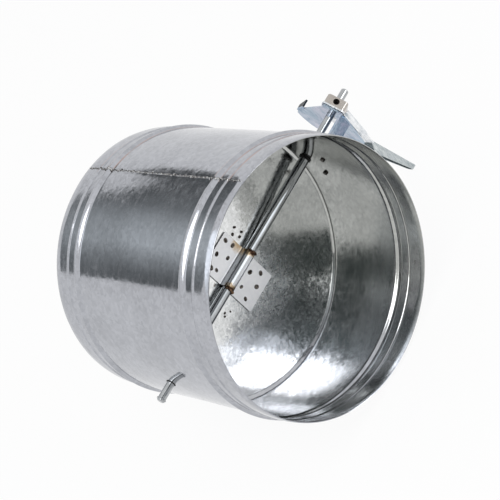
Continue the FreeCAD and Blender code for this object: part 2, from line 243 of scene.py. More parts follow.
# Hot-dip galvanised sheet: zinc froze in spangles, each a crystal that lies at its own tilt, so one
# patch catches the light while its neighbour stays dull. Rolling left faint streaks round the duct,
# and handling left hazy stains and small scuffs. Noise moves the cells' edges by up to 3 mm, and a
# cell's random colour tilts the normal and shifts tone and roughness. Ageing then goes by place.
def galvanisedSheet(name, look, useUv, ageing):
    material, tree, shader, place = newMaterial(name)
    where = addNode(tree, "TexCoord").outputs["UV"] if useUv else place
    wander = addNode(tree, "TexNoise", {"Vector": where, "Scale": 160.0, "Detail": 2.0}).outputs["Color"]
    wander = vector(tree, "MULTIPLY_ADD", wander, (0.003, 0.003, 0.003), where)
    cells = addNode(tree, "TexVoronoi", {"Vector": wander, "Scale": 1 / (look["spangle"] * mm)})
    cells = cells.outputs["Color"]
    tilt = vector(tree, "SUBTRACT", cells, (0.5, 0.5, 0.5))
    tilt = addNode(tree, "VectorMath", {"operation": "SCALE", 0: tilt, "Scale": look["tilt"]}).outputs[0]
    normal = addNode(tree, "NewGeometry").outputs["Normal"]
    facet = vector(tree, "NORMALIZE", vector(tree, "ADD", normal, tilt))
    streaks = stretched(tree, where, (60.0, 420.0, 60.0) if useUv else (180.0, 180.0, 180.0))
    streaks = noise(tree, streaks, 1.0, 4.0, 0.6)
    clouds = noise(tree, where, 22.0, 3.0, 0.55)
    red, green, _ = addNode(tree, "SeparateColor", {0: cells}).outputs
    share = calc(tree, "MULTIPLY_ADD", clouds, 0.9, calc(tree, "MULTIPLY", red, 0.45))
    tone = mixTones(tree, share, look["dark"], look["light"])
    rough = calc(tree, "MULTIPLY_ADD", green, look["spread"], look["rough"])
    rough = calc(tree, "MULTIPLY_ADD", streaks, look["streak"], rough)
    rough = calc(tree, "SUBTRACT", rough, look["streak"] * 0.4)
    stain = stretched(tree, where, (0.45, 1.0, 1.0) if useUv else (1.0, 1.0, 1.0))
    stain = noise(tree, stain, 1 / (look["patch"] * mm), 6.0, 0.68, 0.6)
    rough = calc(tree, "ADD", rough, ramp(tree, stain, 0.40, 0.72, 0.0, look["blotch"]))
    scuff = noise(tree, where, 150.0, 7.0, 0.75, 2.5)
    rough = calc(tree, "ADD", rough, ramp(tree, scuff, 0.70, 0.76, 0.0, look["scuff"]))
    tone, rough = ageing(tree, place, clouds, tone, rough)
    height = calc(tree, "MULTIPLY_ADD", streaks, 1.6, noise(tree, where, 700.0, 3.0))
    dents = addNode(tree, "Bump", {"Height": height, "Normal": facet, "Strength": look["dent"],
                                   "Distance": 0.0003})
    fill(tree, shader, {"Base Color": tone, "Roughness": rough, "Metallic": 1.0, "Normal": dents.outputs[0]})
    return material


# The casing's ageing: a dull warm film on the inner face, which is where the normal points at the
# duct's axis, and broken rust lines on the outer face where rolling stretched the zinc.
def casingAgeing(tree, place, clouds, tone, rough):
    outward = vector(tree, "MULTIPLY", place, (1.0, 0.0, 1.0))
    normal = addNode(tree, "NewGeometry").outputs["True Normal"]
    facing = addNode(tree, "VectorMath", {"operation": "DOT_PRODUCT", 0: outward, 1: normal}).outputs["Value"]
    inner = calc(tree, "LESS_THAN", facing, 0.0)
    across, along, up = addNode(tree, "SeparateXYZ", {0: place}).outputs
    film = ramp(tree, across, filmLook["from"] * mm, filmLook["full"] * mm)
    tone = mixTones(tree, calc(tree, "MULTIPLY", film, inner), tone, filmLook["tint"], "MULTIPLY")
    near = calc(tree, "MINIMUM", along, calc(tree, "SUBTRACT", ductLength * mm, along))
    limit = ramp(tree, across, rustLook["across"][0] * mm, rustLook["across"][1] * mm)
    outer = ramp(tree, calc(tree, "SUBTRACT", up, inner), rustLook["up"][0] * mm, rustLook["up"][1] * mm)
    limit = calc(tree, "MULTIPLY", limit, outer)
    limit = calc(tree, "MULTIPLY", limit, ramp(tree, clouds, 0.35, 0.6))
    for edge in rustLook["at"]:
        off = calc(tree, "ABSOLUTE", calc(tree, "SUBTRACT", near, edge * mm))
        line = ramp(tree, off, rustLook["gone"] * mm, rustLook["full"] * mm, 0.0, rustLook["share"])
        tone = mixTones(tree, calc(tree, "MULTIPLY", line, limit), tone, rustLook["tint"])
    return tone, rough


# The blade's ageing: haze where the strap was welded on, fading out with distance from its middle,
# with fern-like frost crystals in it.
def bladeAgeing(tree, place, clouds, tone, rough):
    near = distanceTo(tree, place, hazeLook["middle"])
    near = ramp(tree, near, hazeLook["from"] * mm, hazeLook["full"] * mm)
    rough = calc(tree, "MULTIPLY_ADD", near, hazeLook["rough"], rough)
    ferns = ramp(tree, noise(tree, place, 330.0, 5.0, 0.62, 2.2), 0.42, 0.60, 0.0, hazeLook["frost"])
    tone = mixTones(tree, calc(tree, "MULTIPLY", ferns, near), tone, hazeLook["tint"])
    return tone, rough


# Bright zinc plate: streaks are given as patches a metre along x, y and z. One part of each piece, past
# all its limits, is darker: on the quadrant it is the stop tab, painted dark as shade for the dark that
# it reflects, and on the lever it is the grip. A limit is an axis, a place in mm and a sign.
zinc = {
    # The quadrant's darker tone is painted shade on its stop tab, for the dark that the tab reflects; the
    # lever's is a darker grip.
    "quadrant": {"light": "b6c4d1", "dark": "7a8da3", "warm": "c4c6d4", "rough": 0.20, "grain": 0.5,
                 "streaks": (300.0, 420.0, 90.0), "darkerTone": "343a3d",
                 "limits": ((0, 212.8, 1), (1, 172.0, 1))},
    "lever": {"light": "fbfcfd", "dark": "a9b2b9", "warm": "e3e6ea", "rough": 0.24, "grain": 0.9,
              "streaks": (420.0, 420.0, 60.0), "darkerTone": "d8dcdb",
              "limits": ((2, -66.0, -1), (0, 200.0, 1))},
}


# Bright zinc plate, blue passivated: a thin clear film over the plating gives pale blue with lilac
# patches, over the scratches and pits of the rolled blank.
def platedZinc(name, look):
    material, tree, shader, where = newMaterial(name)
    clouds = noise(tree, where, 70.0, 4.0, 0.6)
    scratch = noise(tree, stretched(tree, where, look["streaks"]), 1.0, 5.0, 0.65)
    mixed = addNode(tree, "Mix", {0: 0.6, 2: clouds, 3: scratch}).outputs[0]
    tone = mixTones(tree, ramp(tree, mixed, 0.38, 0.58), look["dark"], look["light"])
    film = ramp(tree, noise(tree, where, 38.0, 2.0, 0.5, 1.5), 0.45, 0.7)
    tone = mixTones(tree, film, tone, look["warm"])
    place = addNode(tree, "SeparateXYZ", {0: where}).outputs
    share = 1.0
    for axis, limit, sign in look["limits"]:
        beyond = calc(tree, "GREATER_THAN" if sign > 0 else "LESS_THAN", place[axis], limit * mm)
        share = calc(tree, "MULTIPLY", beyond, share)
    # Past all limits the tone is multiplied by the darker tone: painted shade on the quadrant's stop tab, a
    # darker grip on the lever.
    tone = mixTones(tree, share, tone, mixTones(tree, 1.0, tone, look["darkerTone"], "MULTIPLY"))
    fill(tree, shader, {"Base Color": tone, "Metallic": 1.0,
                        "Roughness": calc(tree, "MULTIPLY_ADD", scratch, 0.22, look["rough"] - 0.08),
                        "Normal": relief(tree, scratch, look["grain"], 0.00012)})
    return material


drawn = {"bright": "c4c6c8", "dull": "8f9294", "rough": 0.10}


# Cold-drawn steel: the die leaves hair lines along the bar, so highlights run as clean lengthwise bands.
def drawnSteel(name, look):
    material, tree, shader, where = newMaterial(name)
    lines = noise(tree, stretched(tree, where, (40.0, 2600.0, 2600.0)), 1.0, 3.0)
    tone = mixTones(tree, noise(tree, where, 55.0, 3.0), look["dull"], look["bright"])
    fill(tree, shader, {"Base Color": tone,
                        "Roughness": calc(tree, "MULTIPLY_ADD", lines, 0.12, look["rough"] - 0.04),
                        "Normal": relief(tree, lines, 0.35, 0.00003), "Metallic": 1.0})
    return material


# Metal left dark by heat, with the size of its blotches in mm. The rivets' tails take dark tones with paler
# patches, and their dark is partly painted shade: it stands for the tails together with the shadows beside
# them.
burnt = {
    "arc": {"bead": "4b382b", "scale": "17110d", "straw": "94765a", "rough": 0.34, "size": 3.0},
    "spot": {"bead": "38302a", "scale": "120f0d", "straw": "8f8982", "rough": 0.4, "size": 2.2},
    "rivet": {"bead": "2c2724", "scale": "120f0d", "straw": "8f8982", "rough": 0.4, "size": 1.8},
    "seam": {"bead": "6b6968", "scale": "1b1a1a", "straw": "ededed", "rough": 0.30, "size": 1.7},
}


# Weld metal left as it cooled: dark oxide scale with straw and brown heat colours, blotchy and rough.
def weldMetal(name, look):
    material, tree, shader, where = newMaterial(name)
    clouds = noise(tree, where, 1 / (look["size"] * mm), 4.0, 0.65)
    tones = addNode(tree, "ValToRGB", {0: clouds})
    stops = tones.color_ramp.elements
    stops[0].position = 0.36
    stops[0].color = hexColour(look["scale"])
    stops[1].position = 0.66
    stops[1].color = hexColour(look["straw"])
    stops.new(0.5).color = hexColour(look["bead"])
    fill(tree, shader, {"Base Color": tones.outputs[0], "Metallic": 0.85,
                        "Roughness": calc(tree, "MULTIPLY_ADD", clouds, 0.3, look["rough"] - 0.15),
                        "Normal": relief(tree, clouds, 0.8, 0.0003)})
    return material


hubLook = {"light": "cbc6c0", "dark": "9d958e", "rough": 0.21}


# Sintered and plated steel: pressed powder keeps a fine open grain under a warm nickel-grey plate.
def sinteredSteel(name, look):
    material, tree, shader, where = newMaterial(name)
    grain = noise(tree, where, 1500.0, 4.0)
    tone = mixTones(tree, noise(tree, where, 90.0, 3.0), look["dark"], look["light"])
    fill(tree, shader, {"Base Color": tone,
                        "Roughness": calc(tree, "MULTIPLY_ADD", grain, 0.2, look["rough"] - 0.1),
                        "Normal": relief(tree, grain, 0.4, 0.00006), "Metallic": 1.0})
    return material


# The strap's tones, the edge's one being painted shade for a shadow line, and in mm how far each way the
# bright hump goes, where an edge face starts and how far noise frays a heat mark.
saddleLook = {"light": "ffffff", "dark": "e9eaee", "straw": "cdb592", "brown": "38271d", "edge": "1d1a18",
              "hump": "c3c5c8", "rough": 0.40, "humpFull": 8.0, "humpGone": 9.5,
              "edgeFrom": 30.0, "fray": 7.0}

# Heat colours on the strap as middle x, y, z, where they start and where they are full, all in mm.
heatMarks = [("straw", (21.5, 139.5, 15.0), 12.5, 4.0), ("straw", (22.4, 130.0, 2.0), 9.5, 6.5),
             ("brown", (22.8, 130.0, 2.0), 8.4, 5.4), ("straw", (-30.4, 130.0, 0.0), 9.5, 6.5),
             ("brown", (-31.0, 130.0, 0.0), 8.8, 5.6)]


# Galvanised strap, cut by a shear and welded on: the sheet is pale and satin, its edge faces are painted
# near black as the shadow line of the gap between strap and blade, and straw and brown heat colours fade out
# from each tube weld. A tint falls with distance from its mark, broken up by noise; an edge is where the
# normal leaves the sheet's and the place is the outline. The hump over the tube was pressed against a die,
# which left it bright.
def heatedStrap(name, look):
    material, tree, shader, where = newMaterial(name)
    clouds = noise(tree, where, 240.0, 5.0, 0.6)
    tone = mixTones(tree, clouds, look["dark"], look["light"])
    away = calc(tree, "ABSOLUTE", addNode(tree, "SeparateXYZ", {0: where}).outputs[2])
    hump = ramp(tree, away, look["humpGone"] * mm, look["humpFull"] * mm)
    tone = mixTones(tree, hump, tone, look["hump"])
    for tint, middle, start, full in heatMarks:
        gap = calc(tree, "MULTIPLY_ADD", clouds, 2 * look["fray"] * mm, distanceTo(tree, where, middle))
        share = ramp(tree, gap, (start + look["fray"]) * mm, (full + look["fray"]) * mm)
        tone = mixTones(tree, share, tone, look[tint])
    # The edge faces are painted near black: a painted shadow line for the gap between strap and blade.
    facing = addNode(tree, "SeparateXYZ", {0: addNode(tree, "NewGeometry").outputs["True Normal"]}).outputs
    endFace = calc(tree, "GREATER_THAN", calc(tree, "ABSOLUTE", facing[0]), 0.6)
    sideFace = calc(tree, "GREATER_THAN", calc(tree, "ABSOLUTE", facing[2]), 0.6)
    sideFace = calc(tree, "MULTIPLY", sideFace, calc(tree, "GREATER_THAN", away, look["edgeFrom"] * mm))
    tone = mixTones(tree, calc(tree, "MAXIMUM", endFace, sideFace), tone, look["edge"])
    rough = calc(tree, "MULTIPLY_ADD", clouds, 0.25, look["rough"] - 0.12)
    fill(tree, shader, {"Base Color": tone, "Roughness": calc(tree, "MULTIPLY_ADD", hump, -0.26, rough),
                        "Metallic": ramp(tree, hump, 0.0, 1.0, 0.5, 1.0),
                        "Normal": relief(tree, clouds, 0.2, 0.0002)})
    return material


nylonLook = {"dark": "141414", "light": "232323", "rough": 0.55}
oxideLook = {"dark": "0e0d0c", "light": "2a2623", "rough": 0.3}


# Moulded black nylon: matt, with a faint mould grain.
def mouldedNylon(name, look):
    material, tree, shader, where = newMaterial(name)
    grain = noise(tree, where, 1800.0, 2.0)
    fill(tree, shader, {"Base Color": mixTones(tree, grain, look["dark"], look["light"]),
                        "Roughness": look["rough"], "Normal": relief(tree, grain, 0.3, 0.00005)})
    return material


# Steel cooked to a black oxide: near black, oily sheen.
def blackOxide(name, look):
    material, tree, shader, where = newMaterial(name)
    grain = noise(tree, where, 900.0, 3.0)
    fill(tree, shader, {"Base Color": mixTones(tree, grain, look["dark"], look["light"]), "Metallic": 0.9,
                        "Roughness": calc(tree, "MULTIPLY_ADD", grain, 0.2, look["rough"])})
    return material


casingZinc = galvanisedSheet("hotDipGalvanisedCasing", galvanised["casing"], True, casingAgeing)
bladeZinc = galvanisedSheet("hotDipGalvanisedBlade", galvanised["blade"], False, bladeAgeing)
quadrantZinc = platedZinc("bluePassivatedZincPlate", zinc["quadrant"])
leverZinc = platedZinc("clearPassivatedZincPlate", zinc["lever"])
barSteel = drawnSteel("coldDrawnSteel", drawn)
arcMetal = weldMetal("arcWeldMetal", burnt["arc"])
spotMetal = weldMetal("spotWeldMetal", burnt["spot"])
# The rivets' dark tones are partly painted shade, for the shadows beside their tails.
rivetSteel = weldMetal("rivetSteelPaintedShade", burnt["rivet"])
seamMetal = weldMetal("seamWeldMetal", burnt["seam"])
hubSteel = sinteredSteel("sinteredNickelSteel", hubLook)
strapZinc = heatedStrap("heatTintedGalvanisedStrap", saddleLook)
nylon = mouldedNylon("mouldedBlackNylon", nylonLook)
oxide = blackOxide("blackOxideSteel", oxideLook)
print("materials made:", len(bpy.data.materials))

# Casing

# The duct wall in mm, with the lap's angle in degrees and its sharp edge and easing in radians. The
# runs are the rows of the grid over half the length: from, to and how many.
casing = {"radius": 150.0, "wall": 0.9, "leadIn": 8.0, "leadDrop": 1.2, "ribAt": 24.0, "ribHalf": 2.1,
          "ribHeight": 1.0, "beadAt": 41.5, "beadHalf": 6.0, "beadHeight": 3.0, "lapAngle": 84.0,
          "lapWidth": 11.0, "lapClear": 56.0, "lapRise": 0.3, "lapFade": 5.0, "lapEdge": 0.002,
          "lapEase": 0.02, "waves": 0.30, "columns": 372, "lapColumns": 40,
          "runs": [(0.25, 1.0, 2), (2, 20, 8), (21.2, 26.8, 12), (29, 34.5, 3), (35.3, 47.7, 20),
                   (50.5, 53.5, 6), (62, 130, 8)]}


# Outside radius at a distance along the duct: straight wall, less the drawn-in ends, plus a rib and a
# rolled bead near each end, both of the form height x (1 + cos) / 2.
def casingRadius(y):
    near = np.minimum(y, ductLength - y)
    radius = casing["radius"] - casing["leadDrop"] * np.clip(1 - near / casing["leadIn"], 0, 1) ** 1.5
    radius = radius + casing["ribHeight"] * bump(near, casing["ribAt"], casing["ribHalf"])
    return radius + casing["beadHeight"] * bump(near, casing["beadAt"], casing["beadHalf"])


# The duct wall: the profile out along the outside and back along the inside, carried round the duct.
# The overlap adds a step at lapAngle that eases out over lapWidth and fades before the beads, and the
# whole wall carries the sheet's waves. Its UV is the distance round the duct and along the profile.
def buildCasing():
    half = np.concatenate([np.linspace(*run) for run in casing["runs"]])
    y = np.concatenate([half, ductLength - half[::-1]])
    lap = np.radians(casing["lapAngle"])
    width = casing["lapWidth"] / casing["radius"]
    edge, ease = casing["lapEdge"], casing["lapEase"]
    fineStart, fineEnd = lap - ease, lap + width + ease
    fine = np.linspace(fineStart, fineEnd, casing["lapColumns"], endpoint=False)
    coarse = np.linspace(fineEnd, fineStart + 2 * np.pi, casing["columns"], endpoint=False)
    angle = np.concatenate([fine, coarse])
    yy, aa = np.meshgrid(y, angle, indexing="ij")
    near = np.minimum(yy, ductLength - yy)
    lapped = smoothStep(aa, lap - edge, lap + edge) * (1 - smoothStep(aa, lap + ease, fineEnd))
    clear, fade = casing["lapClear"], casing["lapFade"]
    lapped = lapped * smoothStep(near, clear - fade, clear + fade)
    dents = sheetWaves(aa, yy, casing["waves"], 11)
    outer = casingRadius(yy) + dents
    inner = outer - casing["wall"]
    lip = outer - casing["wall"] / 2
    radius = np.vstack([outer + casing["lapRise"] * lapped, lip[-1:], inner[::-1], lip[:1]])
    along = np.vstack([yy, np.full_like(yy[:1], ductLength), yy[::-1], np.zeros_like(yy[:1])])
    around = np.broadcast_to(angle, radius.shape)
    points = np.stack([radius * np.cos(around), along, radius * np.sin(around)], -1)
    path = np.concatenate([[0], np.cumsum(np.linalg.norm(np.diff(points[:, 0], axis=0), axis=1)), [0]])
    path[-1] = path[-2] + 0.5
    turn = np.append(angle, angle[0] + 2 * np.pi) * casing["radius"]
    uv = np.stack(np.meshgrid(path, turn, indexing="ij")[::-1], -1)
    return gridObject("rolledCasing", [points], wrapU=True, wrapV=True, uv=uv, sharp=50)


dress(buildCasing(), casingZinc, "casing", "galvanised_sheet", "casing_shell")

# The weld along the lap in mm: where it runs, its radius and limits, how far it wanders, how much and
# where it swells at a bead, and how far its middle lies above the wall and beside the lap's edge. Its
# section is thick and wide times the radius.
seam = {"from": 2.0, "to": 268.0, "step": 0.45, "radius": 0.85, "least": 0.18, "most": 2.2, "wander": 1.3,
        "swell": 1.1, "swellAt": 40.0, "swellHalf": 16.0, "above": 0.15, "beside": 0.4, "thick": 0.8,
        "wide": 1.3, "corners": 9}


# The lap's weld: a thin ring section carried along the overlap's edge. Its radius is a base size times
# noise, its path wanders sideways, and it swells where it crosses the beads.
def buildSeam():
    y = np.arange(seam["from"], seam["to"], seam["step"])
    local = np.random.default_rng(3)
    rough = local.normal(size=(3, len(y)))
    smooth = np.stack([np.convolve(row, np.hanning(7) / 3.5, "same") for row in rough])
    near = np.minimum(y, ductLength - y)
    swell = bump(near, seam["swellAt"], seam["swellHalf"]) * seam["swell"]
    size = seam["radius"] * (0.65 + 0.75 * np.clip(smooth[0], -0.8, 2))
    size = size + swell * 0.5 * np.clip(smooth[2] + 0.6, 0, 2)
    size = np.clip(size, seam["least"], seam["most"])[:, None]
    middle = casingRadius(y)[:, None] + seam["above"]
    angle = np.radians(casing["lapAngle"]) + (seam["wander"] * smooth[1] - seam["beside"]) / casing["radius"]
    ring = np.linspace(0, 2 * np.pi, seam["corners"], endpoint=False)
    out = middle + size * seam["thick"] * np.sin(ring)
    turn = angle[:, None] + size * seam["wide"] * np.cos(ring) / casing["radius"]
    points = np.stack([out * np.cos(turn), np.repeat(y[:, None], seam["corners"], 1), out * np.sin(turn)], -1)
    return gridObject("seamWeld", [points], wrapV=True, caps=True, sharp=60)


dress(buildSeam(), seamMetal, "casing", "weld_metal", "seam_welds")
print("casing built")

# Blade

# The disc in mm, with the slope of its handle's side, which eases in past leanFrom. The rows are those
# of the grid on the near face and on the far one.
blade = {"radius": 147.2, "face": 141.0, "sheet": 1.2, "hem": 7.0, "waves": 0.22, "lean": 0.072,
         "leanFrom": 24.0, "leanEase": 12.0, "nearRows": 34, "farRows": 14, "columns": 400}


# Flat disc with its edge folded back: a profile of (radius, y) from the middle of the near face, round
# the fold, over the hem's end and back to the middle, turned about the duct's axis. The sheet waves a
# little, more towards the rim and less where the hem holds it: y + wave(angle, radius) x
# (radius / rim)^2. The handle's side leans away from the tube beyond the strap: y + lean x
# (x - leanFrom), with its start eased by log(1 + exp).
def buildBlade():
    face, sheet, rim, back = blade["face"], blade["sheet"], blade["radius"], blade["face"] + blade["sheet"]
    hem = rim - blade["hem"]
    fold = np.linspace(-np.pi / 2, np.pi / 2, 9)
    radii = np.concatenate([np.linspace(1.5, rim - 3, blade["nearRows"]), rim - sheet + sheet * np.cos(fold),
                            [hem + 0.5, hem, hem - 0.1], np.linspace(rim - 12, 1.5, blade["farRows"])])
    depth = np.concatenate([np.full(blade["nearRows"], face), back + sheet * np.sin(fold),
                            [back + sheet, back + sheet - 0.3, back], np.full(blade["farRows"], back)])
    angle = np.linspace(0, 2 * np.pi, blade["columns"], endpoint=False)
    rr, aa = np.meshgrid(radii, angle, indexing="ij")
    wave = sheetWaves(aa, rr, blade["waves"], 5) * (rr / rim) ** 2 * (1 - 0.6 * smoothStep(rr, rim - 10, rim))
    beyond = (rr * np.cos(aa) - blade["leanFrom"]) / blade["leanEase"]
    y = depth[:, None] + wave + blade["lean"] * blade["leanEase"] * np.logaddexp(0, beyond)
    points = np.stack([rr * np.cos(aa), y, rr * np.sin(aa)], -1)
    return gridObject("discBlade", [points], wrapV=True, caps=True)


dress(buildBlade(), bladeZinc, "blade", "galvanised_blade", "blade_disc")

# Spot welds as x, z of their middles in mm: those of the strap, and stray ones on the blade beside it.
strapSpots = [(13.2, 31.8), (14.6, 20.2), (-5.3, 32.5), (0.0, 17.1), (-21.2, 29.5), (-19.2, 21.7),
              (5.7, -18.4), (13.4, -31.7), (-13.8, -18.5), (-1.6, -36.4), (-21.0, -31.7)]
bladeSpots = [(32.5, 29.1), (34.3, 17.8), (28.4, 16.7), (24.8, 26.5), (-43.2, -23.8), (-48.8, -18.4),
              (-51.8, -20.8)]

# A nugget in mm: heights of its rim, its middle's pit and its floor, how deep its skirt and its root go
# into the sheet, and its radius; then the y of the strap's face.
nugget = {"rim": 0.35, "pit": 0.05, "floor": 0.12, "skirt": 0.3, "root": 0.4, "strap": 2.8, "blade": 1.7}
strapFace = 139.5


# Nuggets of spot welds: craters whose height above the sheet is a ring at two thirds of the radius less
# a pit in the middle, each a little out of round. The skirt goes into the sheet.
def nuggets(spots, level, size, seed):
    local = np.random.default_rng(seed)
    grids = []
    rings = np.linspace(0.08, 1.0, 9)
    angle = np.linspace(0, 2 * np.pi, 28, endpoint=False)
    outside = smoothStep(rings, 0.9, 1.0)
    height = nugget["rim"] * bump(rings, 0.66, 0.34) - nugget["pit"] * bump(rings, 0.0, 0.5) + nugget["floor"]
    height = height * (1 - outside) - nugget["skirt"] * outside
    depth = np.repeat(level - height[:, None], len(angle), 1)
    for x, z in spots:
        radius = size * local.uniform(0.8, 1.15) * (1 + 0.12 * np.cos(2 * angle + local.uniform(0, 6)))
        reach = rings[:, None] * radius
        top = np.stack([x + reach * np.cos(angle), depth, z + reach * np.sin(angle)], -1)
        root = top[::-1].copy()
        root[:, :, 1] = level + nugget["root"]
        grids.append(np.vstack([top, root]))
    return grids


onStrap = nuggets(strapSpots, strapFace, nugget["strap"], 21)
onBlade = nuggets(bladeSpots, blade["face"], nugget["blade"], 22)
dress(gridObject("strapSpotWelds", onStrap, wrapV=True, caps=True, sharp=60),
      spotMetal, "blade", "weld_metal", "saddle_welds")
dress(gridObject("bladeSpotMarks", onBlade, wrapV=True, caps=True, sharp=60),
      spotMetal, "blade", "weld_metal")

# A bead in mm and degrees: its radius, how far it lies from the shaft's axis, its sweep about it, its
# place along x as middle and reach either way, and how far it wanders; then a lump as a share of the
# radius, with its place and half-width along the sweep.
bead = {"radius": 1.85, "away": 6.3, "sweep": 130.0, "middle": -4.0, "reach": 25.4, "wander": 0.5,
        "lump": 0.9, "lumpAt": 0.17, "lumpHalf": 0.13, "steps": 60, "corners": 20}


# A weld bead: a ring section carried round the near side of the tube. Its radius is the bead's times
# (0.82 + ripple), with a ripple for each stop of the rod. It tapers to both ends and has a lump near one.
def weldBead(side, seed):
    local = np.random.default_rng(seed)
    sweep = np.radians(np.linspace(-bead["sweep"] / 2, bead["sweep"] / 2, bead["steps"]))[:, None]
    t = np.linspace(0, 1, bead["steps"])
    uneven = np.convolve(local.normal(size=bead["steps"]), np.hanning(7) / 3.5, "same")
    taper = 0.35 + 0.65 * np.sin(np.pi * t) ** 0.5
    size = bead["radius"] * (0.82 + 0.12 * np.sin(t * 48) + 0.16 * uneven) * taper
    size = size * (1 + bead["lump"] * bump(t, bead["lumpAt"], bead["lumpHalf"]))
    drift = np.convolve(local.normal(size=bead["steps"]), np.hanning(15) / 7, "same")
    middle = bead["middle"] + side * bead["reach"] + bead["wander"] * drift
    ring = np.linspace(0, 2 * np.pi, bead["corners"], endpoint=False)
    reach = size[:, None] * (1 + 0.12 * np.cos(3 * ring[None, :] + 9 * t[:, None]))
    away = bead["away"] + reach * np.sin(ring) * 0.9
    x = middle[:, None] + reach * np.cos(ring)
    return np.stack([x, shaftY - away * np.cos(sweep), away * np.sin(sweep)], -1)


for side, label, node in ((1, "handleWeldBead", "weld_handle"), (-1, "tailWeldBead", "weld_tail")):
    run = gridObject(label, [weldBead(side, 40 + side)], wrapV=True, caps=True, sharp=60)
    dress(run, arcMetal, "blade", "weld_metal", node)
print("blade built")

# Shaft, bushes and washers

# Rings round the shaft in mm: from and to along x, outside radius, bore radius and edge rounding.
ringSizes = {"tube": (-146.3, 146.3, 6.0, 4.5, 0.3), "tail": (-171.0, -169.6, 5.4, 4.5, 0.3),
             "handleSpacer": (146.3, 147.5, 6.0, 4.55, 0.2),
             "tailSpacer": (-147.5, -146.3, 6.0, 4.55, 0.2), "washer": (212.2, 213.2, 11.0, 4.6, 0.15)}

# The two shaft ends in mm, each from inside the tube to its tip, and a bush on the handle's side as
# corners of (x, radius).
rods = {"handle": (108.0, 245.0), "tail": (-108.0, -173.0), "radius": 4.5, "chamfer": 1.1}
bush = [(147.75, 4.55), (147.75, 6.9), (147.95, 7.2), (148.5, 7.2), (148.7, 7.0), (148.7, 5.6), (150.2, 5.6),
        (150.4, 5.4), (150.4, 4.55)]


# Outline of a shaft end as (x, radius): from its blunt end inside the tube to its chamfered tip.
def rodProfile(inner, tip):
    away = 1 if tip > inner else -1
    radius, cut = rods["radius"], rods["chamfer"]
    return [(inner, 0.3), (inner, radius), (inner + away * 2, radius), (tip - away * (cut + 0.5), radius),
            (tip - away * (cut + 0.1), radius - 0.02), (tip - away * cut * 0.75, radius - 0.22),
            (tip - away * 0.12, radius - cut + 0.1), (tip, radius - cut - 0.1), (tip, 0.3)]


# Outline of a ring as (x, radius), open at its bore, with both outside edges eased.
def ringProfile(low, high, outer, inner, ease):
    return [(low, inner), (low, outer - ease), (low + ease, outer), (high - ease, outer),
            (high, outer - ease), (high, inner)]


tailBush = [(-x, radius) for x, radius in bush]
shaftPieces = [
    ("shaftTube", "shaft_tube", barSteel, "blade", "bright_steel", ringProfile(*ringSizes["tube"])),
    ("handleRod", "handle_rod", barSteel, "blade", "bright_steel", rodProfile(*rods["handle"])),
    ("tailRod", "tail_rod", barSteel, "blade", "bright_steel", rodProfile(*rods["tail"])),
    ("tailRing", "tail_ring", barSteel, "blade", "bright_steel", ringProfile(*ringSizes["tail"])),
    ("handleSpacer", "spacer_handle", nylon, "blade", "nylon", ringProfile(*ringSizes["handleSpacer"])),
    ("tailSpacer", "spacer_tail", nylon, "blade", "nylon", ringProfile(*ringSizes["tailSpacer"])),
    ("thrustWasher", "thrust_washer", barSteel, "blade", "bright_steel", ringProfile(*ringSizes["washer"])),
    ("handleBush", "bush_handle", nylon, "casing", "nylon", bush),
    ("tailBush", "bush_tail", nylon, "casing", "nylon", tailBush),
]
for label, node, material, body, slotName, profile in shaftPieces:
    solid = node.endswith("_rod")
    piece = gridObject(label, [turned(profile)], wrapU=not solid, wrapV=True, caps=solid, sharp=28)
    dress(piece, material, body, slotName, node)
print("shaft built")

# Pressed parts


# A copy of a CAD node's own solid with its doubles merged, its flats joined and its edges rounded by a
# bevel of the given width in mm, so that each corner catches light as a pressed or tumbled edge does.
def roundedNode(node, name, width):
    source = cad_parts[node]
    work = bmesh.new()
    work.from_mesh(source.data)
    work.transform(source.matrix_world)
    bmesh.ops.remove_doubles(work, verts=work.verts, dist=2e-6)
    bmesh.ops.dissolve_limit(work, angle_limit=np.radians(0.6), verts=work.verts, edges=work.edges)
    mesh = bpy.data.meshes.new(name)
    work.to_mesh(mesh)
    work.free()
    obj = placeMesh(name, mesh, 28)
    bevel = obj.modifiers.new("edges", "BEVEL")
    bevel.width = width * mm
    bevel.segments = 2
    bevel.limit_method = "ANGLE"
    bevel.angle_limit = np.radians(30)
    bevel.use_clamp_overlap = True
    bevel.harden_normals = True
    return obj


# Each node with the piece's name, its bevel in mm, material, body and slot.
pressed = {"quadrant_bracket": ("quadrantBracket", 0.35, quadrantZinc, "casing", "zinc_plate"),
           "lever_arm": ("leverArm", 0.35, leverZinc, "blade", "zinc_plate"),
           "saddle_plate": ("saddleStrap", 0.25, strapZinc, "blade", "zinc_plate"),
           "lever_hub": ("squareHub", 0.3, hubSteel, "blade", "hub_steel"),
           "hub_set_screw": ("setScrew", 0.15, oxide, "blade", "black_oxide"),
           "bracket_rivets": ("footRivets", 0.15, rivetSteel, "casing", "rivet_alloy")}
for node, (label, width, material, body, slotName) in pressed.items():
    dress(roundedNode(node, label, width), material, body, slotName, node)
print("pressed parts built")

# Floor, light and camera

# In metres. The floor lies just under the casing's beads.
studio = {"floor": -0.1545, "floorHalf": 6.0, "floorLift": 0.93, "paper": "f2f2f2", "room": "ecedef",
          "roomLevel": 0.85, "target": (0.0, 0.1, 0.0)}

